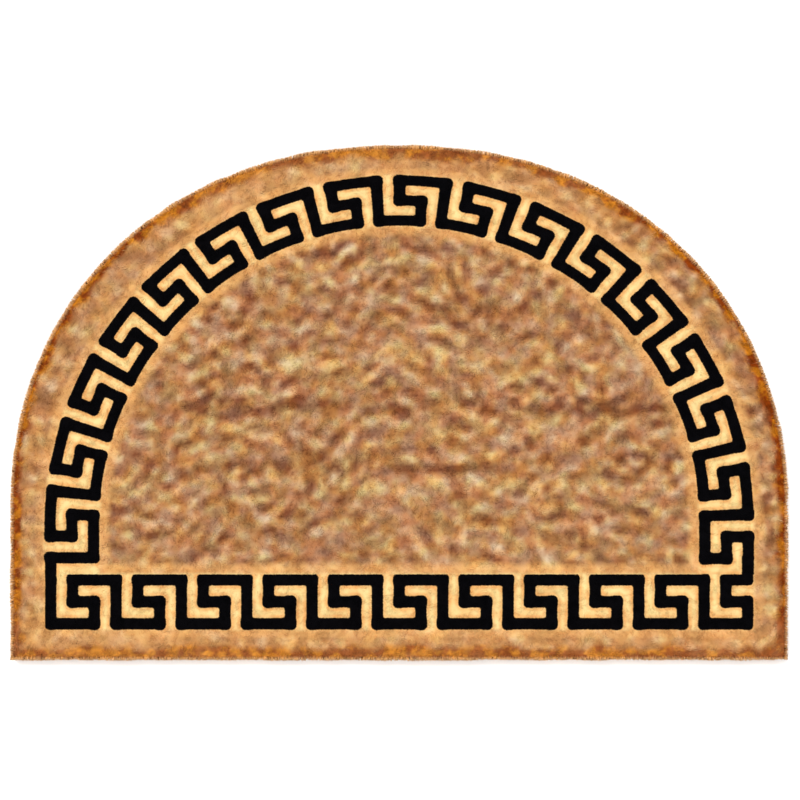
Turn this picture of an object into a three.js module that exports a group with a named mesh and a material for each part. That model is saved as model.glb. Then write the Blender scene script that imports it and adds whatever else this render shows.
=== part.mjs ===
// Half-round coir doormat: one slab of short coir pile that lies flat on the floor.
// Millimetres, +Z up. The origin is on the floor at the middle of the footprint's box,
// +X runs along the straight edge and +Y points to the round side.

import * as THREE from 'three';

// Outline, seen from above
const MAT_WIDTH = 600;
const MAT_DEPTH = 397;
const SIDE_LENGTH = 120; // straight part of each side, from the lower corner upwards
const ROUND_WIDTH_POWER = 2.2; // 2 and 2 would be an ellipse, and a little more is a little fuller
const ROUND_RISE_POWER = 2.05;
const CORNER_PULL = 1.6; // how far wear draws each lower corner in

// Thickness
const MAT_THICKNESS = 15;
const LUMP_DEPTH = 1.4; // the deepest hollow of the trodden top

// Rim section from the floor to the shoulder: height, how far it stands in from the outline,
// and how much of a tuft's relief it takes
const RIM_SECTION = [
  { height: 0, inset: 1.5, relief: 0.15 },
  { height: 2.2, inset: 1.2, relief: 0.3 },
  { height: 6.5, inset: 0.4, relief: 1 },
  { height: 10.5, inset: 0, relief: 1 },
  { height: 13.2, inset: 1.3, relief: 0.8 },
];
const SHOULDER_INSET = 4;
const SHOULDER_DROP = 0.5; // how far the pile falls off at the shoulder

// Unevenness of the cut edge
const TUFT_RELIEF = 1.1; // depth between two neighbouring tufts
const EDGE_WAVER = 1.4; // slow in and out of the cut
const WAVER_LENGTH = 62;

// Unevenness of the top: two sizes of lump, with their share of the depth
const LUMP_SIZES = [
  { length: 44, share: 0.6 },
  { length: 23, share: 0.4 },
];

// Mesh: cells across and along the top, each with one tuft on the rim
const COLUMNS = 60;
const ROWS = 40;
const TUFTS = 2 * (COLUMNS + ROWS);
const RIM_POINTS = 2 * TUFTS;

const COIR_COLOUR = 0xc18a55;

// A repeatable number from 0 to 1 for a whole-number place
function scatter(i, j) {
  const wave = Math.sin(i * 127.1 + j * 311.7) * 43758.5453;
  return wave - Math.floor(wave);
}

// Smooth noise from 0 to 1 over places one unit apart
function smoothNoise(x, y) {
  const i = Math.floor(x);
  const j = Math.floor(y);
  const u = THREE.MathUtils.smoothstep(x - i, 0, 1);
  const v = THREE.MathUtils.smoothstep(y - j, 0, 1);
  const low = THREE.MathUtils.lerp(scatter(i, j), scatter(i + 1, j), u);
  const high = THREE.MathUtils.lerp(scatter(i, j + 1), scatter(i + 1, j + 1), u);
  return THREE.MathUtils.lerp(low, high, v);
}

// How far the trodden top lies below the full thickness at a place
function lumpDrop(x, y) {
  let drop = 0;
  for (const lump of LUMP_SIZES) {
    drop += lump.share * smoothNoise(x / lump.length, y / lump.length);
  }
  return LUMP_DEPTH * drop;
}

// The round side as a curve from the right side to the left one
class RoundSide extends THREE.Curve {
  constructor(halfWidth, rise, centreY) {
    super();
    this.halfWidth = halfWidth;
    this.rise = rise;
    this.centreY = centreY;
  }

  getPoint(t, target = new THREE.Vector2()) {
    const across = Math.cos(Math.PI * t);
    const up = Math.max(Math.sin(Math.PI * t), 0);
    const x = Math.sign(across) * this.halfWidth * Math.abs(across) ** (2 / ROUND_WIDTH_POWER);
    const y = this.centreY + this.rise * up ** (2 / ROUND_RISE_POWER);
    return target.set(x, y);
  }
}

// The outline moved in by an inset, as evenly spaced points that run anticlockwise
// from the lower left corner
function outlinePoints(inset) {
  const halfWidth = MAT_WIDTH / 2 - inset;
  const low = -MAT_DEPTH / 2 + inset;
  const centreY = -MAT_DEPTH / 2 + SIDE_LENGTH;
  const rise = MAT_DEPTH - SIDE_LENGTH - inset;
  const leftCorner = new THREE.Vector2(-halfWidth, low);
  const rightCorner = new THREE.Vector2(halfWidth, low);

  const straightEdge = new THREE.LineCurve(leftCorner, rightCorner);
  const rest = new THREE.CurvePath();
  rest.add(new THREE.LineCurve(rightCorner, new THREE.Vector2(halfWidth, centreY)));
  rest.add(new RoundSide(halfWidth, rise, centreY));
  rest.add(new THREE.LineCurve(new THREE.Vector2(-halfWidth, centreY), leftCorner));

  const edgeSteps = 2 * COLUMNS;
  const points = straightEdge.getSpacedPoints(edgeSteps).slice(0, -1);
  return points.concat(rest.getSpacedPoints(RIM_POINTS - edgeSteps).slice(0, -1));
}

// How far the rim stands in at each of its points, between tufts and along the cut
function rimRelief(index, relief, point) {
  const isCorner = index === 0 || index === 2 * COLUMNS;
  if (isCorner) {
    return CORNER_PULL;
  }
  const isHollow = index % 2 === 0;
  const depth = isHollow ? 0.5 + 0.5 * scatter(index, 3) : 0.35 * scatter(index, 7);
  const wave = smoothNoise(point.x / WAVER_LENGTH, point.y / WAVER_LENGTH) - 0.5;
  return TUFT_RELIEF * relief * depth + EDGE_WAVER * wave;
}

// One ring of rim points, each moved in along the outline's own normal
function rimRing(inset, relief) {
  const points = outlinePoints(inset);
  return points.map((point, index) => {
    const before = points[(index + RIM_POINTS - 1) % RIM_POINTS];
    const after = points[(index + 1) % RIM_POINTS];
    const inward = new THREE.Vector2(before.y - after.y, after.x - before.x).normalize();
    return point.clone().addScaledVector(inward, rimRelief(index, relief, point));
  });
}

// The top's points by column and row, spread evenly between its four bounding rows of points
function topGrid(ring) {
  const bottom = (i) => ring[i];
  const right = (j) => ring[COLUMNS + j];
  const top = (i) => ring[2 * COLUMNS + ROWS - i];
  const left = (j) => ring[(TUFTS - j) % TUFTS];
  const blend = (i, j, axis) => {
    const u = i / COLUMNS;
    const v = j / ROWS;
    const fromEdges = (1 - v) * bottom(i)[axis] + v * top(i)[axis]
      + (1 - u) * left(j)[axis] + u * right(j)[axis];
    const fromCorners = (1 - u) * (1 - v) * bottom(0)[axis] + u * (1 - v) * bottom(COLUMNS)[axis]
      + (1 - u) * v * top(0)[axis] + u * v * top(COLUMNS)[axis];
    return fromEdges - fromCorners;
  };
  return (i, j) => new THREE.Vector2(blend(i, j, 'x'), blend(i, j, 'y'));
}

// The slab as one closed mesh with shared points
function slabGeometry() {
  const positions = [];
  const triangles = [];
  const addPoint = (x, y, z) => positions.push(x, y, z) / 3 - 1;

  const rings = RIM_SECTION.map(({ height, inset, relief }) =>
    rimRing(inset, relief).map((point) => addPoint(point.x, point.y, height)));

  // Underside
  const floorRing = rings[0];
  const floorContour = floorRing.map((k) => new THREE.Vector2(positions[3 * k], positions[3 * k + 1]));
  for (const [a, b, c] of THREE.ShapeUtils.triangulateShape(floorContour, [])) {
    triangles.push(floorRing[a], floorRing[c], floorRing[b]);
  }

  // Rim
  for (let r = 0; r + 1 < rings.length; r++) {
    for (let k = 0; k < RIM_POINTS; k++) {
      const next = (k + 1) % RIM_POINTS;
      triangles.push(rings[r][k], rings[r][next], rings[r + 1][next]);
      triangles.push(rings[r][k], rings[r + 1][next], rings[r + 1][k]);
    }
  }

  // Top, whose outer points make the shoulder
  const shoulderRing = rimRing(SHOULDER_INSET, 0).filter((point, index) => index % 2 === 0);
  const place = topGrid(shoulderRing);
  const grid = [];
  for (let j = 0; j <= ROWS; j++) {
    grid.push([]);
    for (let i = 0; i <= COLUMNS; i++) {
      const isRim = i === 0 || i === COLUMNS || j === 0 || j === ROWS;
      const { x, y } = place(i, j);
      const height = MAT_THICKNESS - lumpDrop(x, y) - (isRim ? SHOULDER_DROP : 0);
      grid[j].push(addPoint(x, y, height));
    }
  }
  for (let j = 0; j < ROWS; j++) {
    for (let i = 0; i < COLUMNS; i++) {
      triangles.push(grid[j][i], grid[j][i + 1], grid[j + 1][i + 1]);
      triangles.push(grid[j][i], grid[j + 1][i + 1], grid[j + 1][i]);
    }
  }

  // Shoulder, from two rim points for each tuft to one
  const shoulder = [];
  for (let i = 0; i < COLUMNS; i++) shoulder.push(grid[0][i]);
  for (let j = 0; j < ROWS; j++) shoulder.push(grid[j][COLUMNS]);
  for (let i = COLUMNS; i > 0; i--) shoulder.push(grid[ROWS][i]);
  for (let j = ROWS; j > 0; j--) shoulder.push(grid[j][0]);
  const rimTop = rings[rings.length - 1];
  for (let k = 0; k < TUFTS; k++) {
    const next = (k + 1) % TUFTS;
    const first = rimTop[2 * k];
    const tip = rimTop[2 * k + 1];
    const last = rimTop[(2 * k + 2) % RIM_POINTS];
    triangles.push(first, tip, shoulder[k]);
    triangles.push(tip, shoulder[next], shoulder[k]);
    triangles.push(tip, last, shoulder[next]);
  }

  const geometry = new THREE.BufferGeometry();
  geometry.setAttribute('position', new THREE.Float32BufferAttribute(positions, 3));
  geometry.setIndex(triangles);
  geometry.computeVertexNormals();
  return geometry;
}

function coirMat() {
  const material = new THREE.MeshStandardMaterial({ color: COIR_COLOUR, roughness: 0.95, metalness: 0 });
  const mesh = new THREE.Mesh(slabGeometry(), material);
  mesh.name = 'coir_mat';
  return mesh;
}

const doormat = new THREE.Group();
doormat.add(coirMat());

export default doormat;
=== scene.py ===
"""Half-round coir doormat: its pile, its printed Greek key and the light it is seen in.

The file is laid out as an add-on. Sizes and colours are properties, and each operator makes one
group of pieces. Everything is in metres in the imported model's frame: the floor is z = 0, +X runs
along the straight edge and +Y points to the round side.
"""

import math

import bpy
import numpy as np
from bpy.props import FloatProperty, FloatVectorProperty, IntProperty, PointerProperty
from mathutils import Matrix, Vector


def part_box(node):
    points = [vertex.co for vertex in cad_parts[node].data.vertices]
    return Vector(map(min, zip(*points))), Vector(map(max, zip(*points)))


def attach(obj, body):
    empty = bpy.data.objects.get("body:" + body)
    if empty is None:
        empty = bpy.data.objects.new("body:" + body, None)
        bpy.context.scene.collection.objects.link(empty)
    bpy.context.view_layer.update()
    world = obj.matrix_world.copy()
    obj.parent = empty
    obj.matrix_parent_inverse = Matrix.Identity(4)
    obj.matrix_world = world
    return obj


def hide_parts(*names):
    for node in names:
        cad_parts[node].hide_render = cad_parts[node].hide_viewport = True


bl_info = {
    "name": "Half-round coir doormat",
    "version": (1, 0, 0),
    "blender": (4, 5, 0),
    "location": "View3D > Sidebar > Doormat",
    "description": "Dresses a half-round doormat with coir pile and a printed Greek key border",
    "category": "Add Mesh",
}

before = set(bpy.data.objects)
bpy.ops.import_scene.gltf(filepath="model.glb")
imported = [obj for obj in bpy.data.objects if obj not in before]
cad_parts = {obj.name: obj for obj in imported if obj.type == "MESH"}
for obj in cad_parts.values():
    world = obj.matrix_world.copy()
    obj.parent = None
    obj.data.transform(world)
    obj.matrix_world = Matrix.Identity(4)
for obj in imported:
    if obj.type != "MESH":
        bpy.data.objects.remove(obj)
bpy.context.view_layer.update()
MAT_NODE = "coir_mat"
MAT_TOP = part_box(MAT_NODE)[1].z
BODY = "root"
BAKE_MAP = "OFBake"
AREA_GRID = (601, 401)

MM = 0.001
TINY = 1e-12
# Each use of chance adds its own number to this one
SEED = 7


def length(name, description, default):
    return FloatProperty(name=name, description=description, default=default, unit="LENGTH")


def angle(name, description, default):
    return FloatProperty(name=name, description=description, default=default, unit="ROTATION")


def ratio(name, description, default):
    return FloatProperty(name=name, description=description, default=default)


def number(name, description, default):
    return IntProperty(name=name, description=description, default=default, min=1)


def colour(name, description, default):
    return FloatVectorProperty(
        name=name, description=description, default=default, subtype="COLOR", size=4, min=0, max=1
    )


class MatOutline(bpy.types.PropertyGroup):
    """The mat's outline, seen from above"""

    width: length("Width", "Length of the straight edge", 0.600)
    depth: length("Depth", "From the straight edge to the top of the round side", 0.397)
    side: length("Side", "Straight part of each side, from the lower corner upwards", 0.120)
    width_power: ratio(
        "Fullness across", "Power of the width in the round side's curve, 2 on an ellipse", 2.2
    )
    rise_power: ratio(
        "Fullness upwards", "Power of the rise in the round side's curve, 2 on an ellipse", 2.05
    )


class PileSizes(bpy.types.PropertyGroup):
    """The coir pile"""

    height: length("Pile level", "Mean height of the strands' tips", MAT_TOP - 0.9 * MM)
    clump_relief: length("Clump relief", "How far clumps stand above or below that", 0.9 * MM)
    clump_length: length("Clump length", "Reach of a clump along its ridge", 3.8 * MM)
    clump_width: length("Clump width", "Reach of a clump across its ridge", 6.0 * MM)
    clump_spacing: length("Clump spacing", "From one ridge of clumps to the next", 17.6 * MM)
    clump_count: number("Clumps", "Overlapping clumps and dents over the mat", 5500)
    clump_turn: angle(
        "Clump turn", "How far the ridges swing from the direction of the straight edge", 1.2
    )
    chevron: angle("Chevron", "How far the ridges tilt down on either side of the middle", 0.7)
    bed_depth: length("Bed depth", "How far the packed bed lies under the strands' tips", 1.5 * MM)
    tuft_spacing: length("Tuft spacing", "Distance between neighbouring tufts", 3.8 * MM)
    tuft_strands: number("Strands in a tuft", "Loose strands that show in each tuft", 5)
    strand_width: length("Strand width", "Width of a strand at its root", 0.9 * MM)
    strand_rise: length("Strand rise", "Height from a strand's root to its tip", 4.2 * MM)
    strand_reach: length("Strand reach", "How far a strand leans from root to tip", 5.2 * MM)
    rim_strands: number("Rim strands", "Upright strands along the cut edge", 9500)


class KeySizes(bpy.types.PropertyGroup):
    """The Greek key: lines on a grid of cells, six cells to a repeat and four rows high"""

    cell: length("Cell", "Grid step along the straight row", 8.405 * MM)
    stroke: length("Line", "Width of the printed line", 8.95 * MM)
    row: length("Row", "Grid step across the straight row", 8.48 * MM)
    base: length("Base", "From the straight edge to the straight row's outer line", 27.9 * MM)
    half_cells: number("Half of the straight row", "Cells from its middle to its end", 32)
    arch_centre: length("Arch centre", "From the straight edge up to the arch's centre", 102.2 * MM)
    arch_start: length(
        "Arch start", "From the straight edge up to the first crossing, on the right", 61.5 * MM
    )
    arch_unit: length("Arch repeat", "Length of a repeat on the arch's middle line", 50.23 * MM)
    arch_units: number("Arch repeats", "Repeats from the first crossing to the last", 17)
    arch_middle: length("Arch middle", "Radius of the arch's middle line", 251.4 * MM)
    arch_radius: length("Arch radius", "Radius of the arch's outer line", 269.45 * MM)
    arch_flatness: ratio("Arch flatness", "How much flatter than round the arch is", 1.006)
    arch_spread: length(
        "Arch spread", "How far repeats slide down from the top on the arch's diagonals", 0.9 * MM
    )
    arch_shoulder: length("Arch shoulder", "How far its right shoulder stands out", 1.2 * MM)
    arch_row_side: length("Arch row, sides", "Grid step across the upright band", 8.38 * MM)
    arch_row_top: length("Arch row, top", "Grid step across the band at its top", 7.76 * MM)


class CoirColours(bpy.types.PropertyGroup):
    """Colours of the coir and its print, in linear light"""

    # Light and dark coir follow the clumps' crests and dents: partly the fibre's own tone, partly
    # painted light on the crests and painted shade in the dents
    light: colour("Light coir", "Cream strands on the crests", (0.69, 0.46, 0.216, 1))
    middle: colour("Middle coir", "The usual tan of the pile", (0.467, 0.231, 0.095, 1))
    dark: colour("Dark coir", "Brown strands between the clumps", (0.204, 0.072, 0.029, 1))
    ground: colour("Border ground", "Paler coir around the key", (0.97, 0.76, 0.34, 1))
    halo: colour("Border halo", "Peach coir just beside the key", (0.91, 0.487, 0.165, 1))
    rim_colour: colour("Rim", "Ochre of the cut edge", (0.54, 0.185, 0.008, 1))
    rim_dark: colour("Rim, dark", "Darker places along the cut edge", (0.24, 0.037, 0.001, 1))
    # The fringe's golden tips are partly the edge's own tone and partly painted light that lifts
    # outer strands standing in shade
    fringe_colour: colour("Fringe", "Golden tips at the very edge", (0.81, 0.50, 0.23, 1))
    black: colour("Key print", "Printed black", (0.0012, 0.001, 0.0016, 1))
    backing: colour("Underside", "Plain backing under the mat", (0.30, 0.19, 0.11, 1))

    @classmethod
    def of_coir(cls):
        """Names of all the colours but the backing's"""
        return [name for name in cls.__annotations__ if name != "backing"]


class Doormat(bpy.types.PropertyGroup):
    """All that a user would change"""

    outline: PointerProperty(type=MatOutline)
    pile: PointerProperty(type=PileSizes)
    key: PointerProperty(type=KeySizes)
    colours: PointerProperty(type=CoirColours)


class Outline:
    """The half-round outline: how far a place lies inside it, and points along it"""

    LEAST_SHARE = 1e-6
    CURVE_POINTS = 4001

    def __init__(self, sizes):
        self.half = sizes.width / 2
        self.low = -sizes.depth / 2
        self.centre = self.low + sizes.side
        self.rise = sizes.depth - sizes.side
        self.powers = sizes.width_power, sizes.rise_power

    def inside(self, x, y):
        """Distance in from the outline, negative outside it"""
        p, q = self.powers
        u = np.maximum(np.abs(x) / self.half, self.LEAST_SHARE)
        v = np.maximum((y - self.centre) / self.rise, self.LEAST_SHARE)
        slope = np.hypot(p * u ** (p - 1) / self.half, q * v ** (q - 1) / self.rise)
        to_curve = (1 - u**p - v**q) / slope
        to_side = self.half - np.abs(x)
        return np.minimum(np.where(y > self.centre, to_curve, to_side), y - self.low)

    def path(self, count):
        """Evenly spaced points that run anticlockwise, and the outward direction at each"""
        p, q = self.powers
        turn = np.linspace(0, math.pi, self.CURVE_POINTS)
        across, up = np.cos(turn), np.maximum(np.sin(turn), 0)
        curve_x = np.sign(across) * self.half * np.abs(across) ** (2 / p)
        curve_y = self.centre + self.rise * up ** (2 / q)
        x = np.concatenate([[-self.half, self.half], curve_x, [-self.half]])
        y = np.concatenate([[self.low, self.low], curve_y, [self.low]])
        run = np.concatenate([[0], np.cumsum(np.hypot(np.diff(x), np.diff(y)))])
        at = np.linspace(0, run[-1], count, endpoint=False)
        points = np.stack([np.interp(at, run, x), np.interp(at, run, y)], 1)
        along = np.roll(points, -1, 0) - np.roll(points, 1, 0)
        along /= np.linalg.norm(along, axis=1, keepdims=True)
        return points, np.stack([along[:, 1], -along[:, 0]], 1)


class Noise:
    """Smooth repeatable noise from 0 to 1, in lumps of a given size"""

    SIDE = 256

    def __init__(self, seed):
        self.table = np.random.default_rng(seed).random((self.SIDE, self.SIDE))

    def at(self, x, y, size_x, size_y=None):
        x, y = x / size_x, y / (size_y or size_x)
        i, j = np.floor(x).astype(int), np.floor(y).astype(int)
        u, v = x - i, y - j
        u, v = u * u * (3 - 2 * u), v * v * (3 - 2 * v)
        low, high = (
            self.table[i % self.SIDE, row % self.SIDE] * (1 - u)
            + self.table[(i + 1) % self.SIDE, row % self.SIDE] * u
            for row in (j, j + 1)
        )
        return low * (1 - v) + high * v


class Clumps:
    """How the pile gathers into ridges of clumps: 1 on a crest, 0 in a dent"""

    STEP = 1 * MM
    REACH = 17
    MARGIN = 20 * MM
    CONTRAST = 0.23
    UNEVEN_SPACING = 0.27
    PATCH = 26 * MM
    PATCH_SHARE = 0.6
    CHEVRON_REACH = 32 * MM
    SWING_SIZE = (34, 26)
    TURN_SHAKE = 0.55
    CALM_AT_MIDDLE = 0.6
    LEAST_HEIGHT = 0.6
    ROW_WANDER = 5 * MM
    SLOW_WANDER = 70 * MM
    QUICK_WANDER = 15 * MM
    WANDER_HEIGHT = 60 * MM
    ROW_BREAKS = (24 * MM, 7 * MM)
    ROW_LEAST = 0.4
    ROW_MORE = 1.2
    ROW_END = 40 * MM
    # Rows where the pile has parted or heaped: how far each stands out, then its height on the
    # mat, half width and reach in mm
    ROWS = (
        (-0.45, (69, 6.0, 260)),
        (0.5, (35, 4.2, 300)),
        (-1.45, (-2.6, 4.2, 330)),
        (0.6, (-12.5, 4.0, 330)),
        (-0.8, (-48.9, 5.6, 230)),
        (0.8, (-61, 4.2, 230)),
    )

    def __init__(self, sizes):
        pile, outline = sizes.pile, sizes.outline
        rng = np.random.default_rng(SEED)
        self.low = np.array([-outline.width / 2, -outline.depth / 2]) - self.MARGIN
        columns, rows = (
            int((side + 2 * self.MARGIN) / self.STEP) for side in (outline.width, outline.depth)
        )
        count = pile.clump_count
        x, y = rng.uniform(0, columns - 1, count), rng.uniform(0, rows - 1, count)
        swing = Noise(SEED).at(x, y, *self.SWING_SIZE) - 0.5
        aside = (x * self.STEP + self.low[0]) / self.CHEVRON_REACH
        near_middle = np.exp(-(aside**2) / 2)
        turn = pile.clump_turn * 2 * swing + rng.normal(0, self.TURN_SHAKE, count)
        turn = turn * (1 - self.CALM_AT_MIDDLE * near_middle)
        turn -= pile.chevron * aside * near_middle * math.exp(0.5)
        height = rng.choice([-1, 1], count) * rng.uniform(self.LEAST_HEIGHT, 1, count)
        spacing = rng.uniform(1 - self.UNEVEN_SPACING, 1 + self.UNEVEN_SPACING, count)
        spacing = spacing * pile.clump_spacing

        # Each clump is a short ridge with a furrow on either side
        steps = np.arange(-self.REACH, self.REACH + 1)
        step_x, step_y = np.meshgrid(steps, steps)
        x, y, turn, height, spacing = (a[:, None, None] for a in (x, y, turn, height, spacing))
        near_x, near_y = np.rint(x).astype(int), np.rint(y).astype(int)
        off_x, off_y = step_x + (near_x - x), step_y + (near_y - y)
        cosine, sine = np.cos(turn), np.sin(turn)
        along = (off_x * cosine + off_y * sine) * self.STEP
        across = (off_y * cosine - off_x * sine) * self.STEP
        fall = (along / pile.clump_length) ** 2 + (across / pile.clump_width) ** 2
        ridge = np.cos(2 * math.pi * across / spacing) * np.exp(-fall / 2) * height
        field = np.zeros((rows + 2 * self.REACH, columns + 2 * self.REACH))
        row, column = near_y + step_y + self.REACH, near_x + step_x + self.REACH
        np.add.at(field, (row, column), ridge)
        field /= field.std()
        self.add_rows(field)
        self.field = np.clip(0.5 + self.CONTRAST * field, 0, 1)
        self.slope_y, self.slope_x = np.gradient(field)

    def add_rows(self, field):
        """Puts in the slow patches that lie higher or lower, and the faint rows"""
        row_y, column_x = (
            low + self.STEP * (np.arange(size) - self.REACH)
            for low, size in zip(self.low[::-1], field.shape)
        )
        patches = Noise(SEED + 31).at(*np.meshgrid(column_x, row_y), self.PATCH)
        field += self.PATCH_SHARE * (patches - 0.5)
        for rise, sizes_in_mm in self.ROWS:
            place, width, reach = (size * MM for size in sizes_in_mm)
            slow, quick = (
                Noise(seed).at(column_x, place, size, self.WANDER_HEIGHT) - 0.5
                for seed, size in ((SEED + 12, self.SLOW_WANDER), (SEED + 13, self.QUICK_WANDER))
            )
            off = (row_y[:, None] - place - self.ROW_WANDER * (slow + quick)) / width
            fade = Noise(SEED + 14).at(column_x, place, *self.ROW_BREAKS)
            ends = np.clip((reach - np.abs(column_x)) / self.ROW_END, 0, 1)
            share = ends * (self.ROW_LEAST + self.ROW_MORE * fade)
            field += rise * np.exp(-(off**2) / 2) * share

    def read(self, field, x, y):
        """A field's value between its grid points"""
        u = (x - self.low[0]) / self.STEP + self.REACH
        v = (y - self.low[1]) / self.STEP + self.REACH
        i, j = np.floor(u).astype(int), np.floor(v).astype(int)
        u, v = u - i, v - j
        near = field[j, i] * (1 - u) + field[j, i + 1] * u
        far = field[j + 1, i] * (1 - u) + field[j + 1, i + 1] * u
        return near * (1 - v) + far * v

    def at(self, x, y):
        return self.read(self.field, x, y)

    def uphill(self, x, y):
        """Direction to the nearest crest, shorter where the pile is level"""
        return np.stack([self.read(self.slope_x, x, y), self.read(self.slope_y, x, y)], 1)


RIM_DEPTH = 10.6 * MM
RIM_FADE = 5.6 * MM
RIM_WAVER = 7 * MM
RIM_WAVER_SIZE = 9 * MM
FRINGE_DEPTH = 2.5 * MM
FRINGE_FADE = 1.8 * MM

# Along the straight edge and over the top of the round side the cut edge is wider and paler
END_FROM = 150 * MM
END_FADE = 30 * MM
WIDER_AT_ENDS = 1.2 * MM
PALER_AT_ENDS = 0.13


def rim_share(inside, x, y):
    """How much a place belongs to the toasted cut edge: 1 at the edge, 0 well inside it"""
    waver = RIM_WAVER * (Noise(SEED + 15).at(x, y, RIM_WAVER_SIZE) - 0.5)
    near_ends = np.clip((np.abs(y) - END_FROM) / END_FADE, 0, 1)
    depth = RIM_DEPTH + WIDER_AT_ENDS * near_ends
    share = np.clip((depth + waver - inside) / RIM_FADE, 0, 1)
    return share * share * (3 - 2 * share) * (1 - PALER_AT_ENDS * near_ends)


def fringe_share(inside):
    """How much a tip belongs to the outermost fringe"""
    return np.clip((FRINGE_DEPTH - inside) / FRINGE_FADE, 0, 1)


def unit(vectors):
    """Each row at length 1"""
    return vectors / np.maximum(np.linalg.norm(vectors, axis=1, keepdims=True), TINY)


# Strands: a three-sided ring of points at the root, one at the bend, and the tip

RING = 3
ALONG_MID = 0.55
MID_WIDTH = 0.8
STRAND_FACES = (
    [(k, (k + 1) % RING, RING + (k + 1) % RING, RING + k) for k in range(RING)]
    + [(RING + k, RING + (k + 1) % RING, 2 * RING) for k in range(RING)]
    + [(2, 1, 0)]
)
STRAND_POINTS = 2 * RING + 1
STRAND_UV = np.array(
    [(0, 0), (1, 0), (0.5, 0.12), (0, ALONG_MID), (1, ALONG_MID), (0.5, ALONG_MID + 0.05), (0.5, 1)]
)
CELL_MARGIN = 0.11
NEAR_UPRIGHT = (0.31, 0.17, 0.93)
FLAT_SIDE_UP = -math.pi / 6


def ring_offsets(direction, width, turn):
    """Corner offsets of a three-sided section across a direction"""
    side = unit(np.cross(direction, NEAR_UPRIGHT))
    other = np.cross(direction, side)
    turns = turn[:, None] + np.arange(RING) * 2 * math.pi / RING
    spoke = side[:, None] * np.cos(turns)[..., None] + other[:, None] * np.sin(turns)[..., None]
    return spoke * (width / 2)[:, None, None]


def over_strand(value):
    """Gives a strand's one value, or its values at the root, bend and tip, to all its points"""
    value = np.broadcast_to(value.reshape(len(value), -1), (len(value), 3))
    return np.repeat(value, [RING, RING, 1], axis=1).ravel()


def add_strands(name, root, mid, tip, width, turn, values):
    """One piece of many tapered strands, each bent once and closed at both ends"""
    count = len(root)
    low = root[:, None] + ring_offsets(unit(mid - root), width, turn)
    middle = mid[:, None] + ring_offsets(unit(tip - root), width * MID_WIDTH, turn)
    points = np.concatenate([low, middle, tip[:, None]], 1).reshape(-1, 3)

    corners = np.concatenate([np.array(face) for face in STRAND_FACES])
    sizes = np.array([len(face) for face in STRAND_FACES])
    loops = (np.arange(count)[:, None] * STRAND_POINTS + corners).ravel()
    loop_totals = np.tile(sizes, count)
    loop_starts = np.concatenate([[0], np.cumsum(loop_totals)[:-1]])

    mesh = bpy.data.meshes.new(name)
    mesh.vertices.add(len(points))
    mesh.vertices.foreach_set("co", points.astype(np.float32).ravel())
    mesh.loops.add(len(loops))
    mesh.loops.foreach_set("vertex_index", loops.astype(np.int32))
    mesh.polygons.add(len(loop_totals))
    mesh.polygons.foreach_set("loop_start", loop_starts.astype(np.int32))
    mesh.update(calc_edges=True)
    mesh.shade_smooth()

    along = np.tile([0, ALONG_MID, 1], (count, 1))
    point_values = {key: over_strand(value) for key, value in values.items()}
    add_values(mesh, point_values | {"along": over_strand(along)})

    cells = math.ceil(math.sqrt(count))
    places = np.stack([np.arange(count) % cells, np.arange(count) // cells], 1)
    fitted = CELL_MARGIN + (1 - 2 * CELL_MARGIN) * STRAND_UV
    map_points = ((places[:, None] + fitted) / cells).reshape(-1, 2)
    add_map(mesh, map_points[loops])

    mesh.materials.append(material("coir strands"))
    piece = bpy.data.objects.new(name, mesh)
    bpy.context.collection.objects.link(piece)
    place_piece(piece)


def add_values(mesh, values):
    """Numbers at each point, which the materials read by name"""
    for key, value in values.items():
        layer = mesh.attributes.new(key, "FLOAT", "POINT")
        layer.data.foreach_set("value", np.asarray(value, np.float32))


def add_map(mesh, places):
    """A flat layout of the faces, under the name kept for baking"""
    layer = mesh.uv_layers.new(name=BAKE_MAP)
    layer.data.foreach_set("uv", places.astype(np.float32).ravel())


def read_all(items, key, size=1, kind=np.float32):
    """One value of every part of a mesh"""
    values = np.empty(size * len(items), kind)
    items.foreach_get(key, values)
    return values


def seen_from_above(root, mid, tip):
    """x and y of all strands at their roots, bends and tips"""
    return np.stack([root, mid, tip], 2)[:, :2].transpose(1, 0, 2)


# Materials


def socket_name(name):
    return name.replace("_", " ").capitalize()


class Wire:
    """A value on its way through a node tree, which + - * / and abs work out further"""

    def __init__(self, pen, socket):
        self.pen = pen
        self.socket = socket

    def __add__(self, other):
        return self.pen.math("ADD", self, other)

    def __sub__(self, other):
        return self.pen.math("SUBTRACT", self, other)

    def __rsub__(self, other):
        return self.pen.math("SUBTRACT", other, self)

    def __mul__(self, other):
        return self.pen.math("MULTIPLY", self, other)

    def __truediv__(self, other):
        return self.pen.math("DIVIDE", self, other)

    def __abs__(self):
        return self.pen.math("ABSOLUTE", self)


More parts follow.
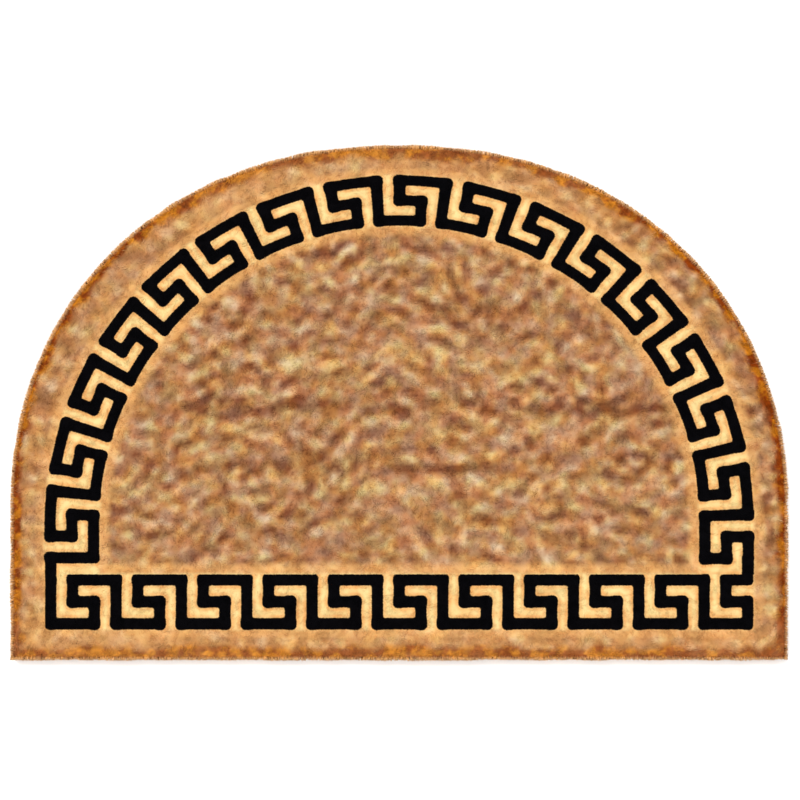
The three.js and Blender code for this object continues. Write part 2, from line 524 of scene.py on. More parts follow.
class NodePen:
    """Adds nodes to a tree and joins them"""

    def __init__(self, tree):
        self.tree = tree

    def node(self, kind, *values, **settings):
        """A node with its settings set and its first inputs filled"""
        node = self.tree.nodes.new(kind)
        for key, setting in settings.items():
            setattr(node, key, setting)
        for socket, value in zip(node.inputs, values):
            self.join(value, socket)
        return node

    def wire(self, kind, *values, output=0, **settings):
        """One output of a new node"""
        return Wire(self, self.node(kind, *values, **settings).outputs[output])

    def join(self, value, socket):
        if isinstance(value, Wire):
            self.tree.links.new(value.socket, socket)
        elif value is not None:
            socket.default_value = value

    def math(self, operation, *values, clamp=False):
        return self.wire("ShaderNodeMath", *values, operation=operation, use_clamp=clamp)

    def least(self, *values):
        return self.math("MINIMUM", *values)

    def most(self, *values):
        return self.math("MAXIMUM", *values)

    def vector(self, operation, *values):
        output = "Value" if operation == "LENGTH" else "Vector"
        return self.wire("ShaderNodeVectorMath", *values, output=output, operation=operation)

    def place(self, *values):
        return self.wire("ShaderNodeCombineXYZ", *values)

    def length(self, *values):
        return self.vector("LENGTH", self.place(*values))

    def parts(self, kind, value):
        """The three numbers of a colour or a place"""
        return [Wire(self, socket) for socket in self.node(kind, value).outputs]

    def mix(self, factor, a, b, blend="MIX"):
        node = self.node("ShaderNodeMix", data_type="RGBA", blend_type=blend)
        for name, value in (("Factor", factor), ("A", a), ("B", b)):
            self.join(value, next(s for s in node.inputs if s.name == name and s.enabled))
        return Wire(self, next(s for s in node.outputs if s.enabled))

    def shade(self, colour, value):
        """A colour made darker or lighter by a number"""
        return self.mix(1.0, colour, self.place(value, value, value), "MULTIPLY")

    def choose(self, which, if_not, if_so):
        """One number where which is 0, and the other where it is 1"""
        return self.wire("ShaderNodeMix", which, None, if_not, if_so)

    def ramp(self, value, low, high, to_low=0.0, to_high=1.0, kind="SMOOTHSTEP"):
        """A step of value from low to high, smooth or straight"""
        ends = low, high, to_low, to_high
        return self.wire("ShaderNodeMapRange", value, *ends, interpolation_type=kind)

    def noise(self, position, scale, detail=2.0, output="Fac"):
        """Noise from about 0.3 to 0.7, in lumps of one over scale metres"""
        node = self.node("ShaderNodeTexNoise", position)
        self.join(scale, node.inputs["Scale"])
        node.inputs["Detail"].default_value = detail
        return Wire(self, node.outputs[output])

    def mottle(self, position, scale, detail, *ends):
        """Noise drawn out by a ramp"""
        return self.ramp(self.noise(position, scale, detail), *ends)

    def group(self, tree, **values):
        """A node group's outputs, from its inputs by name"""
        node = self.node("ShaderNodeGroup", node_tree=tree)
        for name, value in values.items():
            self.join(value, node.inputs[socket_name(name)])
        return {socket.name: Wire(self, socket) for socket in node.outputs}

    def give(self, **values):
        """Joins the group's own outputs"""
        result = self.node("NodeGroupOutput").inputs
        for name, value in values.items():
            self.join(value, result[name])
        return self.tree


def new_group(name, inputs, outputs):
    """An empty shader node group with named sockets, as a pen to fill it and what it is given"""
    tree = bpy.data.node_groups.new(name, "ShaderNodeTree")
    for in_out, sockets in (("INPUT", inputs), ("OUTPUT", outputs)):
        for kind, names in sockets.items():
            for title in names:
                tree.interface.new_socket(title, in_out=in_out, socket_type=f"NodeSocket{kind}")
    pen = NodePen(tree)
    given = pen.node("NodeGroupInput").outputs
    return pen, {socket.name: Wire(pen, socket) for socket in given if socket.name}


# Each part of one repeat of the key as a box on the grid: its middle and half size, in cells.
# Across the border, row 0 is the outer line and row 4 the inner one.
KEY_PARTS = (
    ((0, 2), (0, 2)),  # crossing
    ((2, 0), (2, 0)),  # outer line
    ((4, 1), (0, 1)),  # rise to the middle
    ((3, 2), (1, 0)),  # middle line
    ((2, 3), (0, 1)),  # rise to the inside
    ((3.5, 4), (1.5, 0)),  # inner line
    ((-0.5, 4), (0.5, 0)),  # inner line into the crossing
)
KEY_REPEAT = 6
MIDDLE_ROW = 2
INNER_ROW = 4

# In cells: how round the lines' corners and the nooks between them are, how soft the print's
# edge is, and from where to where the peach beside it fades
CORNER = 0.42
FILLET = 0.34
SOFTNESS = 0.035
BESIDE_FADE = (0.42, 0.1)

# In degrees from the mat's right side: where the arch's shoulder rises and falls
SHOULDER_FADES = ((2, 20), (75, 40))

# In cells from the border's middle row, with the amount at either end
GROUND_FADE = (2.8, 2.3)
HALO_FADE = (3.85, 3.0, 0, 0.68)
HALO_AT_SIDES = (1.5, 2.5, 1, 0.78)
MARGIN_FADE = (-0.4, -1)

# How pale the margin is: by height above the straight edge, twice, and to the left
PALE_LOW = (40 * MM, 20 * MM, 0.06, 0.4)
PALE_TOP = (310 * MM, 365 * MM, 0.0, 0.3)
PALE_LEFT = (-50 * MM, -200 * MM, 0.0, 0.14)


def key_repeat_group():
    """Distance in cells to the lines of an endless key, each swollen by a border"""
    pen, given = new_group(
        "Key repeat", {"Float": ["Along", "Across", "Swell"]}, {"Float": ["Distance"]}
    )
    along = pen.math("FLOORED_MODULO", given["Along"] + 1, KEY_REPEAT) - 1
    place = pen.place(along, given["Across"])
    swell = pen.place(given["Swell"], given["Swell"])
    distances = []
    for middle, half in KEY_PARTS:
        offset = pen.vector("ABSOLUTE", pen.vector("SUBTRACT", place, (*middle, 0)))
        beyond = pen.vector("SUBTRACT", pen.vector("SUBTRACT", offset, (*half, 0)), swell)
        distances.append(pen.vector("LENGTH", pen.vector("MAXIMUM", beyond, (0, 0, 0))))
    nearest = distances[0]
    for distance in distances[1:]:
        nearest = pen.math("SMOOTH_MIN", nearest, distance, FILLET)
    return pen.give(Distance=nearest)


def key_border_group(key, low):
    """From a place on the mat: the key's print, the pale ground between its lines, the halo
    round the key and the peach beside each line
    """
    repeat = key_repeat_group()
    sizes = {socket_name(name): getattr(key, name) for name in KeySizes.__annotations__}
    pen, given = new_group(
        "Greek key border",
        {"Vector": ["Position"], "Float": sizes},
        {"Float": ["Print", "Ground", "Halo", "Beside"]},
    )
    for socket in pen.tree.interface.items_tree:
        if socket.name in sizes:
            socket.default_value = sizes[socket.name]

    x, y, _ = pen.parts("ShaderNodeSeparateXYZ", given["Position"])
    height = y - low
    x_cells = x / given["Cell"]
    swell = given["Stroke"] / 2 / given["Cell"] - CORNER

    # Straight row, whose ends are closed
    row_end = given["Half cells"] + swell
    row_x = pen.least(pen.most(x_cells, row_end * -1), row_end)
    row_along = row_x + given["Half cells"]
    row_across = (height - given["Base"]) / given["Row"]
    in_row = pen.group(repeat, along=row_along, across=row_across, swell=swell)["Distance"]
    row_distance = pen.length(in_row, pen.most(abs(x_cells) - row_end, 0))

    # Arch: round its centre above it, and straight up or down beside it
    rise = height - given["Arch centre"]
    flattened = pen.most(rise, 0) * given["Arch flatness"]
    turn = pen.math("ARCTAN2", flattened, x)
    rising, falling = (pen.ramp(turn, *map(math.radians, fade)) for fade in SHOULDER_FADES)
    radius = pen.length(x, flattened) - rising * falling * given["Arch shoulder"]
    run = turn * given["Arch middle"] + pen.math("SIGN", x) * pen.least(rise, 0)
    slide = pen.math("SINE", turn * 2) * given["Arch spread"]
    run = run + slide + (given["Arch centre"] - given["Arch start"])
    arch_along = run / (given["Arch unit"] / KEY_REPEAT)
    rows = given["Arch row side"], given["Arch row top"]
    arch_row = pen.ramp(flattened / radius, 0, 1, *rows, kind="LINEAR")
    arch_across = (given["Arch radius"] - radius) / arch_row
    arch_end = given["Arch units"] * KEY_REPEAT + swell
    on_arch = pen.least(arch_along, arch_end)
    in_arch = pen.group(repeat, along=on_arch, across=arch_across, swell=swell)["Distance"]
    arch_distance = pen.length(in_arch, pen.most(arch_along - arch_end, 0))

    # The straight row holds up to its inner line, and the arch begins above it
    is_arch = pen.math("GREATER_THAN", height, given["Base"] + given["Row"] * (INNER_ROW + 0.5))
    distance = pen.choose(is_arch, row_distance, arch_distance)
    across = pen.choose(is_arch, row_across, arch_across)

    # On both sides the arch's outer line runs on down: to the inner line on the right, and on
    # the left past the last crossing to the straight row's own outer line
    around = math.pi * key.arch_middle
    left_top = around + 2 * key.arch_centre - key.arch_start - key.arch_units * key.arch_unit
    right_low = key.base + INNER_ROW * key.row
    right_top = right_low + 2 * key.row
    for side, link_low, link_top in ((-1, key.base, left_top), (1, right_low, right_top)):
        link_x = pen.most(abs(x_cells - side * key.half_cells) - swell, 0)
        link_y = abs(height - (link_low + link_top) / 2) - (link_top - link_low) / 2
        link_y = pen.most(link_y, 0) / given["Cell"]
        distance = pen.least(distance, pen.length(link_x, link_y))

    # How far a place lies from the border's middle row tells what lies round the print
    from_sides = abs(x_cells) - (key.half_cells - MIDDLE_ROW)
    from_row = pen.most(abs(row_across - MIDDLE_ROW), from_sides)
    from_arch = pen.most(abs(arch_across - MIDDLE_ROW), MIDDLE_ROW - row_across)
    from_middle = pen.least(from_row, from_arch)
    halo = pen.ramp(from_middle, *HALO_FADE) * pen.ramp(from_sides, *HALO_AT_SIDES)
    in_margin = pen.ramp(pen.least(across, MIDDLE_ROW - from_sides), *MARGIN_FADE)
    pale = pen.ramp(height, *PALE_LOW) + pen.ramp(height, *PALE_TOP) + pen.ramp(x, *PALE_LEFT)
    return pen.give(
        Print=pen.ramp(distance, CORNER + SOFTNESS, CORNER - SOFTNESS),
        Ground=pen.ramp(from_middle, *GROUND_FADE),
        Halo=pen.most(halo, in_margin * pale),
        Beside=pen.ramp(distance, *(CORNER + fade for fade in BESIDE_FADE)),
    )


# What the coir's colour is multiplied by where it drifts from one hue to another
HUE_DRIFTS = (
    ((1.04, 0.88, 0.73, 1), (0.97, 1.11, 1.29, 1)),
    ((1.0, 1.02, 0.84, 1), (1.0, 0.98, 1.18, 1)),
)

# Noise: how many lumps to a metre, and how fine
HUES = (80, 1.5)
CREEPS = (1100, 1)

# The same, with the ramp that draws it out: where it begins and ends, and its value there
PATCHES = (22, 2, 0.35, 0.68, 0.96, 1.04)
PEACHES = (75, 1, 0.42, 0.62, 0, 0.4)
BLOTCHES = (100, 2, 0.41, 0.59)
BACKING_SHADES = (900, 3, 0.35, 0.65, 0.85, 1.08)
BOARD_SHADES = (30, 2, 0.3, 0.7, 0.97, 0.985)

# Ramps of other values
HUE_RAMP = (0.3, 0.7)
GRAIN_RAMP = (0.3, 0.7)
EDGE_SHADES = (0, 1, 0.75, 1.25)
# Painted shade along a strand, darkest at the root
ROOT_PAINTED_SHADE = (0, 0.65, 0.9, 1)

# Fibre grain of each surface
STRAND_GRAIN = {"scale": 1800, "smoothest": 0.7, "roughest": 0.86, "depth": 0.03 * MM}
BED_GRAIN = {"scale": 1800, "smoothest": 0.82, "roughest": 0.95, "depth": 0.3 * MM}
BACKING_GRAIN = {"scale": 900, "smoothest": 0.6, "roughest": 0.8, "depth": 0.3 * MM}

# How strongly each effect tells, from 0 to 1
OWN_SHADE = 0.16
HALO_SHARE = 0.8
GROUND_SHARE = 0.86
BESIDE_SHARE = 0.65
EDGE_HALO_SHARE = 0.15
FRINGE_SHARE = 0.8

# Extra toasting of the cut edge by distance from the mat's middle line
SIDE_TOAST = (200 * MM, 290 * MM, 0, 0.25)

# The print creeps a little along single fibres, so its edge isn't ruled
CREEP = (1.1 * MM, 1.1 * MM, 0)
SHEEN = 0.04


def coir_colour_group():
    """Colour of coir from its clump, its strand, the place along the strand and the print"""
    border = "Print", "Beside", "Ground amount", "Halo amount"
    inputs = {
        "Vector": ["Position"],
        "Float": ["Clump", "Strand", "Along", "Rim", "Fringe", *border],
        "Color": map(socket_name, CoirColours.of_coir()),
    }
    pen, given = new_group("Coir colour", inputs, {"Color": ["Color"]})
    position = given["Position"]

    # Crest to dent, stirred by the strand's own tone: paler on the crests and darker in the dents,
    # partly the coir's own tone and partly painted light on the crests and painted shade in the
    # dents
    own = (given["Strand"] - 0.5) * OWN_SHADE
    crest = pen.math("ADD", given["Clump"], own, clamp=True)
    coir = pen.mix(pen.ramp(crest, 0.5, 1.0, kind="LINEAR"), given["Middle"], given["Light"])
    coir = pen.mix(pen.ramp(crest, 0.5, 0.0, kind="LINEAR"), coir, given["Dark"])

    # Slow patches, as fibre from different husks
    coir = pen.shade(coir, pen.mottle(position, *PATCHES))

    # Redder to greyer and yellower to pinker places, a few strands wide
    drifts = pen.noise(position, *HUES, "Color")
    for drift, hues in zip(pen.parts("ShaderNodeSeparateColor", drifts), HUE_DRIFTS):
        coir = pen.mix(1.0, coir, pen.mix(pen.ramp(drift, *HUE_RAMP), *hues), "MULTIPLY")

    # Paler round the key
    halo = pen.mix(given["Halo amount"] * HALO_SHARE, coir, given["Halo"])
    peach = pen.mottle(position, *PEACHES)
    peach = pen.math("ADD", peach, given["Beside"] * BESIDE_SHARE, clamp=True)
    ground = pen.mix(GROUND_SHARE, coir, pen.mix(peach, given["Ground"], given["Halo"]))
    coir = pen.mix(given["Ground amount"], halo, ground)

    # The cut edge, toasted in blotches and most of all along the sides
    blotch = pen.mottle(position, *BLOTCHES)
    aside = abs(pen.parts("ShaderNodeSeparateXYZ", position)[0])
    blotch = pen.math("ADD", blotch, pen.ramp(aside, *SIDE_TOAST), clamp=True)
    edge = pen.mix(blotch, given["Rim colour"], given["Rim dark"])
    edge = pen.mix(given["Halo amount"] * EDGE_HALO_SHARE, edge, given["Halo"])
    # Painted light in part: the golden fringe colour lifts the outer strands that stand in shade
    edge = pen.mix(given["Fringe"] * FRINGE_SHARE, edge, given["Fringe colour"])
    edge = pen.shade(edge, pen.ramp(given["Strand"], *EDGE_SHADES))
    coir = pen.mix(given["Rim"], coir, edge)

    # Painted shade: strands are darkened towards the root, where little light gets in among the
    # pile
    coir = pen.shade(coir, pen.ramp(given["Along"], *ROOT_PAINTED_SHADE))
    return pen.give(Color=pen.mix(given["Print"], coir, given["Black"]))


def fibre_grain_group():
    """Fine grain of fibre: a height for the bump and a roughness that follows it"""
    pen, given = new_group(
        "Fibre grain",
        {"Vector": ["Position"], "Float": ["Scale", "Smoothest", "Roughest"]},
        {"Float": ["Height", "Roughness"]},
    )
    height = pen.mottle(given["Position"], given["Scale"], 3, *GRAIN_RAMP)
    rough = pen.ramp(height, 0, 1, given["Roughest"], given["Smoothest"])
    return pen.give(Height=height, Roughness=rough)


def new_material(name):
    """A material by name, as a pen to fill it, its shader and the place on the object"""
    made = bpy.data.materials.new(name)
    made.use_nodes = True
    pen = NodePen(made.node_tree)
    shader = made.node_tree.nodes["Principled BSDF"]
    return pen, shader, pen.wire("ShaderNodeTexCoord", output="Object")


def finish_surface(pen, shader, groups, position, depth, **sizes):
    """Joins fibre grain to a shader, as its roughness and as a bump of some depth"""
    grain = pen.group(groups["grain"], position=position, **sizes)
    pen.join(grain["Roughness"], shader.inputs["Roughness"])
    bump = pen.node("ShaderNodeBump")
    pen.join(depth, bump.inputs["Distance"])
    pen.join(grain["Height"], bump.inputs["Height"])
    pen.join(Wire(pen, bump.outputs["Normal"]), shader.inputs["Normal"])


def coir_material(name, groups, colours, grain):
    """Coir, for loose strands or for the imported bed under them"""
    pen, shader, position = new_material(name)
    creep = pen.noise(position, *CREEPS, "Color")
    creep = pen.vector("MULTIPLY", pen.vector("SUBTRACT", creep, (0.5, 0.5, 0.5)), CREEP)
    border = pen.group(groups["border"], position=pen.vector("ADD", position, creep))
    stored = {
        name: pen.wire("ShaderNodeAttribute", output="Fac", attribute_name=name)
        for name in ("clump", "strand", "along", "rim", "fringe")
    }
    coir = pen.group(
        groups["coir"],
        position=position,
        print=border["Print"],
        beside=border["Beside"],
        ground_amount=border["Ground"],
        halo_amount=border["Halo"],
        **stored,
        **{name: getattr(colours, name) for name in CoirColours.of_coir()},
    )
    pen.join(coir["Color"], shader.inputs["Base Color"])
    finish_surface(pen, shader, groups, position, **grain)
    shader.inputs["Specular IOR Level"].default_value = SHEEN


def make_coir_materials(sizes):
    """The materials of the strands, of the bed and of its underside"""
    colours = sizes.colours
    groups = {
        "border": key_border_group(sizes.key, -sizes.outline.depth / 2),
        "coir": coir_colour_group(),
        "grain": fibre_grain_group(),
    }
    coir_material("coir strands", groups, colours, STRAND_GRAIN)
    coir_material("coir bed", groups, colours, BED_GRAIN)
    pen, shader, position = new_material("plain backing")
    mottled = pen.shade(colours.backing, pen.mottle(position, *BACKING_SHADES))
    pen.join(mottled, shader.inputs["Base Color"])
    finish_surface(pen, shader, groups, position, **BACKING_GRAIN)


def material(name):
    """A material by name, made with the others when it is first asked for"""
    if name not in bpy.data.materials:
        make_coir_materials(bpy.context.scene.doormat)
    return bpy.data.materials[name]


def place_piece(piece):
    """Puts a finished piece on the mat's body"""
    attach(piece, BODY)


class DOORMAT_OT_bed(bpy.types.Operator):
    """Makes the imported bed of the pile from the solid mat"""

    bl_idname = "doormat.bed"
    bl_label = "Coir bed"

    CUTS = 2
    SIDE_PULL = 0.4 * MM
    SHOULDER = 7 * MM
    SHOULDER_DROP = 1.8 * MM
    LUMP_SIZE = 2.2 * MM
    LUMP_DEPTH = 0.5 * MM
    TOP_FROM = 13 * MM
    TOP_MEAN = 13.4 * MM
    FLAT = 0.01 * MM
    DOWNWARDS = -0.9
    UPWARDS = 0.5
    # Painted shade: the bed takes the darkening of a strand this far along, as it lies deep in the
    # pile
    ALONG = 0.4
    # Corner and size of each part of its flat layout, on a square of side 1
    TOP_AREA = ((0.005, 0.34), (0.99, 0.655))
    UNDERSIDE_AREA = ((0.005, 0.01), (0.38, 0.25))
    SIDE_AREA = ((0.005, 0.28), (0.96, 0.045))

    def execute(self, context):
        sizes = context.scene.doormat
        outline, clumps = Outline(sizes.outline), Clumps(sizes)
        bpy.ops.object.select_all(action="DESELECT")
        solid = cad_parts[MAT_NODE]
        piece = bpy.data.objects.new("coir_bed", solid.data.copy())
        context.collection.objects.link(piece)
        context.view_layer.objects.active = piece
        piece.select_set(True)
        bpy.ops.object.mode_set(mode="EDIT")
        bpy.ops.mesh.select_all(action="SELECT")
        bpy.ops.mesh.remove_doubles(threshold=self.FLAT)
        bpy.ops.mesh.subdivide(number_cuts=self.CUTS)
        bpy.ops.object.mode_set(mode="OBJECT")

        mesh = piece.data
        place = read_all(mesh.vertices, "co", 3).reshape(-1, 3).astype(float)
        x, y, z = place.T
        rim = rim_share(outline.inside(x, y), x, y)
        clump = clumps.at(x, y)
        fine = Noise(SEED + 20).at(x, y, self.LUMP_SIZE) - 0.5

        # The top sinks under the strands' tips, the sides draw in behind the rim's strands
        level = sizes.pile.height + sizes.pile.clump_relief * (2 * clump - 1)
        shoulder = np.clip(1 - outline.inside(x, y) / self.SHOULDER, 0, 1)
        level -= self.SHOULDER_DROP * shoulder**2
        bed_level = level - sizes.pile.bed_depth + self.LUMP_DEPTH * fine
        upper = np.clip(z / self.TOP_FROM, 0, 1)
        z_new = np.where(z > self.TOP_FROM, bed_level, z * (bed_level / self.TOP_MEAN) * upper)
        pull = self.SIDE_PULL * upper * (rim > 0)
        place[:, :2] -= unit(np.stack([x, y], 1)) * pull[:, None]
        place[:, 2] = np.where(z < self.FLAT, 0, np.minimum(z_new, bed_level))
        mesh.vertices.foreach_set("co", place.astype(np.float32).ravel())
        mesh.update()
        mesh.shade_smooth()

        values = {
            "clump": clump,
            "rim": rim,
            "strand": np.random.default_rng(SEED + 1).random(len(place)),
            "along": np.full(len(place), self.ALONG),
            "fringe": fringe_share(outline.inside(x, y)),
        }
        add_values(mesh, values)
        self.lay_out(mesh, place)
        mesh.materials.clear()
        mesh.materials.append(material("coir bed"))
        mesh.materials.append(material("plain backing"))
        for face in mesh.polygons:
            face.material_index = int(face.normal.z < self.DOWNWARDS)
        place_piece(piece)
        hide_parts(MAT_NODE)
        return {"FINISHED"}

    def lay_out(self, mesh, place):
        """Lays the bed out flat: the top over most of the square, the rest below it"""
        low, high = place.min(0), place.max(0)
        across, up, rise = ((place - low) / (high - low)).T
        turn = np.arctan2(place[:, 1], place[:, 0]) / (2 * math.pi) + 0.5
        top, underside, side = (
            np.array(corner) + np.array(size) * np.stack(shares, 1)
            for (corner, size), shares in (
                (self.TOP_AREA, (across, up)),
                (self.UNDERSIDE_AREA, (across, up)),
                (self.SIDE_AREA, (turn, rise)),
            )
        )

        points = read_all(mesh.loops, "vertex_index", kind=np.int32)
        sizes = read_all(mesh.polygons, "loop_total", kind=np.int32)
        steep = np.repeat(read_all(mesh.polygons, "normal", 3)[2::3], sizes)
        faces_up, faces_down = steep > self.UPWARDS, steep < self.DOWNWARDS
        flat_map = np.where(faces_up[:, None], top[points], side[points])
        flat_map = np.where(faces_down[:, None], underside[points], flat_map)

        # A side face over the seam stays in one piece
        ends = np.cumsum(sizes)
        face = np.repeat(np.arange(len(sizes)), sizes)
        furthest = np.maximum.reduceat(turn[points], ends - sizes)[face]
        over = ~faces_up & ~faces_down & (furthest - turn[points] > 0.5)
        flat_map[over, 0] += self.SIDE_AREA[1][0]
        add_map(mesh, flat_map)


class DOORMAT_OT_pile(bpy.types.Operator):
    """Strews the leaning strands of the pile in tufts over the mat"""

    bl_idname = "doormat.pile"
    bl_label = "Coir pile"

    PIECES = 4
    EDGE = 1.0 * MM
    REACH_RANGE = (0.35, 1.35)
    RISE_RANGE = (0.9, 1.1)
    WIDTH_RANGE = (0.75, 1.2)
    HELD_BY_CLUMP = 0.7
    SHADE_OF_TUFT = 0.4
    OVERHANG = 0.5 * MM
    GATHER = 0.4
    DRIFT = 0.4
    DRIFT_SIZE = (17 * MM, 11 * MM)
    ROW_SHARE = 0.9
    TUFT_SHAKE = 0.25
    STRAND_SHAKE = 0.3
    TIP_SHAKE = 0.25 * MM
    BEND_ALONG = 0.42
    BEND_HEIGHT = 0.66
    BEND_SHAKE = 0.35 * MM
    EDGE_REACH = 5 * MM
    EDGE_DROP = 0.9 * MM
    RIM_SHAKE = 0.8 * MM

    def make_tufts(self, rng, step, outline, clumps):
        """The places of the tufts, on a shaken grid, with the lean and the shade of each"""
        columns = np.arange(-outline.half, outline.half, step)
        rows = np.arange(outline.low, -outline.low, step * self.ROW_SHARE)
        tufts = np.array(np.meshgrid(columns, rows)).reshape(2, -1)
        tufts = tufts + rng.uniform(-0.5, 0.5, tufts.shape) * step
        tufts = tufts[:, outline.inside(*tufts) > self.EDGE]
        count = tufts.shape[1]

        # They lean along the clumps' ridges, towards the crests and with a slow drift
        flow = 2 * math.pi * Noise(SEED + 8).at(*tufts, *self.DRIFT_SIZE)
        drift = np.stack([np.cos(flow), np.sin(flow)], 1)
        uphill = unit(clumps.uphill(*tufts))
        ridge = np.stack([-uphill[:, 1], uphill[:, 0]], 1)
        ridge *= np.sign((ridge * drift).sum(1))[:, None]
        lean = ridge + self.GATHER * uphill + self.DRIFT * drift
        turn = np.arctan2(lean[:, 1], lean[:, 0]) + rng.normal(0, self.TUFT_SHAKE, count)
        return tufts, turn, rng.random(count)

    def execute(self, context):
        sizes = context.scene.doormat
        pile, outline, clumps = sizes.pile, Outline(sizes.outline), Clumps(sizes)
        rng = np.random.default_rng(SEED + 2)
        step = pile.tuft_spacing
        tufts, tuft_turn, tuft_shade = self.make_tufts(rng, step, outline, clumps)
        own = np.repeat(np.arange(len(tuft_turn)), pile.tuft_strands)
        count = len(own)
        at = tufts[:, own] + rng.normal(0, self.STRAND_SHAKE, (2, count)) * step
        turn = tuft_turn[own] + rng.normal(0, self.STRAND_SHAKE, count)
        reach = pile.strand_reach * rng.uniform(*self.REACH_RANGE, count)
        keep = outline.inside(*at) > self.EDGE
        at, turn, reach, own = (a[..., keep] for a in (at, turn, reach, own))
        count = len(own)
        lean = np.stack([np.cos(turn), np.sin(turn)])

        # A tip that would hang too far over the edge is drawn back to it
        at_root = outline.inside(*at) + self.OVERHANG
        at_tip = outline.inside(*(at + lean * reach)) + self.OVERHANG
        reach = np.where(at_tip < 0, reach * at_root / (at_root - np.minimum(at_tip, 0)), reach)

        rise = pile.strand_rise * rng.uniform(*self.RISE_RANGE, count)
        tip_at = at + lean * reach
        clump = clumps.at(*(at + self.HELD_BY_CLUMP * (tip_at - at)))
        level = pile.height + pile.clump_relief * (2 * clump - 1)
        level = level + rng.normal(0, self.TIP_SHAKE, count)
        near_edge = np.clip(1 - outline.inside(*tip_at) / self.EDGE_REACH, 0, 1)
        level -= self.EDGE_DROP * near_edge**2
        root = np.stack([*at, level - rise], 1)
        tip = np.stack([*tip_at, level], 1)
        mid = root + (tip - root) * self.BEND_ALONG
        mid[:, :2] += rng.normal(0, self.BEND_SHAKE, (count, 2))
        mid[:, 2] = root[:, 2] + self.BEND_HEIGHT * rise
        width = pile.strand_width * rng.uniform(*self.WIDTH_RANGE, count)
        roll = FLAT_SIDE_UP + rng.normal(0, self.TUFT_SHAKE, count)
        strand = self.SHADE_OF_TUFT * tuft_shade[own] + (1 - self.SHADE_OF_TUFT) * rng.random(count)
        seen = seen_from_above(root, mid, tip)
        inside = outline.inside(*seen)
        values = {
            "clump": clumps.at(*seen),
            "strand": strand,
            "rim": rim_share(inside + rng.normal(0, self.RIM_SHAKE, (count, 1)), *seen),
            "fringe": fringe_share(inside),
        }

        # One piece for each layer, and each layer covers the whole mat
        for first in range(self.PIECES):
            part = np.arange(first, count, self.PIECES)
            shape = (a[part] for a in (root, mid, tip, width, roll))
            layer = {key: value[part] for key, value in values.items()}
            add_strands(f"coir_pile_{first + 1}", *shape, layer)
        return {"FINISHED"}


class DOORMAT_OT_rim(bpy.types.Operator):
    """Stands the strands of the cut edge upright along the outline"""

    bl_idname = "doormat.rim"
    bl_label = "Coir rim"

    # Share of strands that lie over the shoulder, and ranges in mm for them and the upright ones.
    # A foot is measured from the tip of one that lies over, and else from the floor.
    SPILLING = 0.45
    SPILL = {"depth": (2.4, 5.2), "beyond": (-0.2, 1.0), "foot": (2.5, 3.5)}
    UPRIGHT = {"depth": (0.5, 2.2), "beyond": (-0.3, 0.8), "foot": (0.8, 2.4)}
    WAVER = 1.2 * MM
    WAVER_SIZE = 11 * MM
    ROOT_SHAKE = 0.3 * MM
    TIP_SHAKE = 0.6 * MM
    LEVEL_SHAKE = 0.35 * MM
    EDGE_REACH = 3 * MM
    EDGE_DROP = 1.1 * MM
    BULGE = 0.2 * MM
    BULGE_SHAKE = 0.15 * MM
    BEND_LIFT = 0.8 * MM
    RELIEF_SHARE = 0.6
    WIDTH_RANGE = (0.9, 1.4)
    RIM_RANGE = (0.9, 1.0)

    def execute(self, context):
        sizes = context.scene.doormat
        pile, outline, clumps = sizes.pile, Outline(sizes.outline), Clumps(sizes)
        rng = np.random.default_rng(SEED + 3)
        count = pile.rim_strands
        path, outward = outline.path(count)
        sideways = np.stack([-outward[:, 1], outward[:, 0]], 1)

        # Some stand upright and make the side, the others lie over the shoulder and spill out
        def draw(key):
            return [rng.uniform(*ranges[key], count) * MM for ranges in (self.SPILL, self.UPRIGHT)]

        spills = rng.random(count) < self.SPILLING
        depth = np.where(spills, *draw("depth"))
        waver = (Noise(SEED + 9).at(*path.T, self.WAVER_SIZE) - 0.5) * self.WAVER
        beyond = np.where(spills, *draw("beyond"))
        shake = rng.normal(0, self.ROOT_SHAKE, count)
        root_at = path - outward * depth[:, None] + sideways * shake[:, None]
        drift = rng.normal(0, self.TIP_SHAKE, count)
        tip_at = path + outward * (beyond + waver)[:, None] + sideways * drift[:, None]
        clump = clumps.at(*tip_at.T)
        edge = np.clip(1 - outline.inside(*tip_at.T) / self.EDGE_REACH, 0, 1)
        relief = self.RELIEF_SHARE * pile.clump_relief * (2 * clump - 1)
        level = pile.height + relief - self.EDGE_DROP * edge
        level += rng.normal(0, self.LEVEL_SHAKE, count)
        below_tip, above_floor = draw("foot")
        foot = np.where(spills, level - below_tip, above_floor)
        root = np.concatenate([root_at, foot[:, None]], 1)
        tip = np.concatenate([tip_at, level[:, None]], 1)
        mid = root + (tip - root) * 0.5
        mid[:, :2] += outward * (self.BULGE + rng.normal(0, self.BULGE_SHAKE, count))[:, None]
        mid[:, 2] += self.BEND_LIFT
        width = pile.strand_width * rng.uniform(*self.WIDTH_RANGE, count)
        roll = rng.uniform(0, 2 * math.pi, count)
        seen = seen_from_above(root, mid, tip)
        values = {
            "clump": clumps.at(*seen),
            "strand": rng.random(count),
            "rim": rng.uniform(*self.RIM_RANGE, count),
            "fringe": fringe_share(outline.inside(*seen)),
        }
        add_strands("coir_rim", root, mid, tip, width, roll, values)
        return {"FINISHED"}


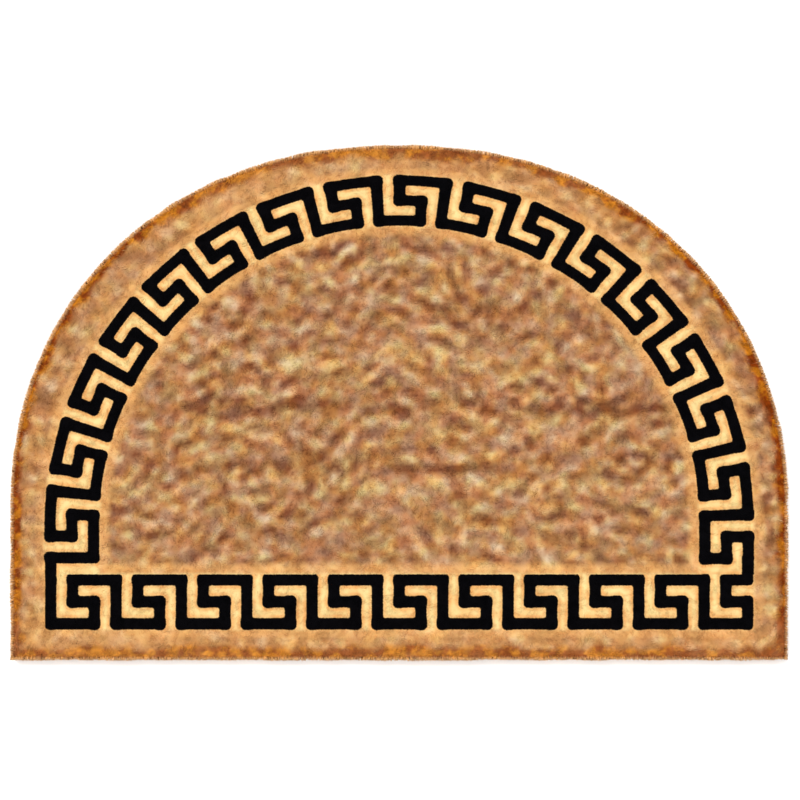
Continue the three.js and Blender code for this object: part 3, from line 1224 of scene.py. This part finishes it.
class DOORMAT_OT_stage(bpy.types.Operator):
    """Sets the floor, the light and a camera that looks straight down"""

    bl_idname = "doormat.stage"
    bl_label = "Floor, light and camera"

    FLOOR_SIDE = 12.0
    LENS = 100.0
    SENSOR = 36.0
    SEEN_WIDTH = 0.617
    LOOK_AT = (0.6 * MM, 2.1 * MM)
    # Lights far off, with their strength, how wide they look in degrees, and where they hang
    LIGHTS = (
        {"name": "window light", "energy": 1.65, "width": 24, "place": (-0.5, 0.75, 1.5)},
        {"name": "fill light", "energy": 0.4, "width": 60, "place": (0.9, -0.6, 1.2)},
    )
    STUDIO_STRENGTH = 1.02

    def execute(self, context):
        bpy.ops.object.select_all(action="DESELECT")
        bpy.ops.mesh.primitive_plane_add(size=self.FLOOR_SIDE, location=(0, 0, 0))
        floor = context.active_object
        floor.name = "floor"
        floor.data.materials.append(self.floor_material())

        for settings in self.LIGHTS:
            light = bpy.data.lights.new(settings["name"], "SUN")
            light.energy = settings["energy"]
            light.angle = math.radians(settings["width"])
            lamp = bpy.data.objects.new(light.name, light)
            lamp.location = settings["place"]
            lamp.rotation_euler = (-lamp.location).to_track_quat("-Z", "Y").to_euler()
            context.collection.objects.link(lamp)
        world = bpy.data.worlds.new("studio")
        world.use_nodes = True
        background = world.node_tree.nodes["Background"]
        background.inputs["Color"].default_value = (1, 1, 1, 1)
        background.inputs["Strength"].default_value = self.STUDIO_STRENGTH
        context.scene.world = world
        context.scene.view_settings.view_transform = "Standard"

        lens = bpy.data.cameras.new("straight down")
        lens.lens = self.LENS
        lens.sensor_width = self.SENSOR
        camera = bpy.data.objects.new("camera", lens)
        distance = self.SEEN_WIDTH * self.LENS / self.SENSOR
        camera.location = (*self.LOOK_AT, distance + context.scene.doormat.pile.height)
        context.collection.objects.link(camera)
        context.scene.camera = camera
        return {"FINISHED"}

    def floor_material(self):
        """White board, with a trace of grain"""
        pen, shader, position = new_material("white board")
        grain = pen.mottle(position, *BOARD_SHADES)
        pen.join(pen.place(grain, grain, grain), shader.inputs["Base Color"])
        shader.inputs["Roughness"].default_value = 0.9
        shader.inputs["Specular IOR Level"].default_value = 0.0
        return bpy.data.materials["white board"]


class DOORMAT_PT_panel(bpy.types.Panel):
    """Lists the steps that make the doormat"""

    bl_idname = "DOORMAT_PT_panel"
    bl_label = "Coir doormat"
    bl_space_type = "VIEW_3D"
    bl_region_type = "UI"
    bl_category = "Doormat"

    def draw(self, context):
        for operator in OPERATORS:
            self.layout.operator(operator.bl_idname)


GROUPS = (MatOutline, PileSizes, KeySizes, CoirColours, Doormat)
OPERATORS = (DOORMAT_OT_bed, DOORMAT_OT_pile, DOORMAT_OT_rim, DOORMAT_OT_stage)


def register():
    for cls in (*GROUPS, *OPERATORS, DOORMAT_PT_panel):
        bpy.utils.register_class(cls)
    bpy.types.Scene.doormat = PointerProperty(type=Doormat)


def unregister():
    del bpy.types.Scene.doormat
    for cls in reversed((*GROUPS, *OPERATORS, DOORMAT_PT_panel)):
        bpy.utils.unregister_class(cls)


def declare_cloth():
    """Works out which places of a grid over the mat lie inside its outline"""
    sizes = bpy.context.scene.doormat.outline
    outline = Outline(sizes)
    columns, rows = AREA_GRID
    across = np.linspace(-outline.half, outline.half, columns)
    up = np.linspace(outline.low, -outline.low, rows)
    inside = outline.inside(*np.meshgrid(across, up)) > 0


def main():
    register()
    bpy.ops.doormat.bed()
    bpy.ops.doormat.pile()
    bpy.ops.doormat.rim()
    bpy.ops.doormat.stage()
    declare_cloth()


if __name__ == "__main__":
    main()
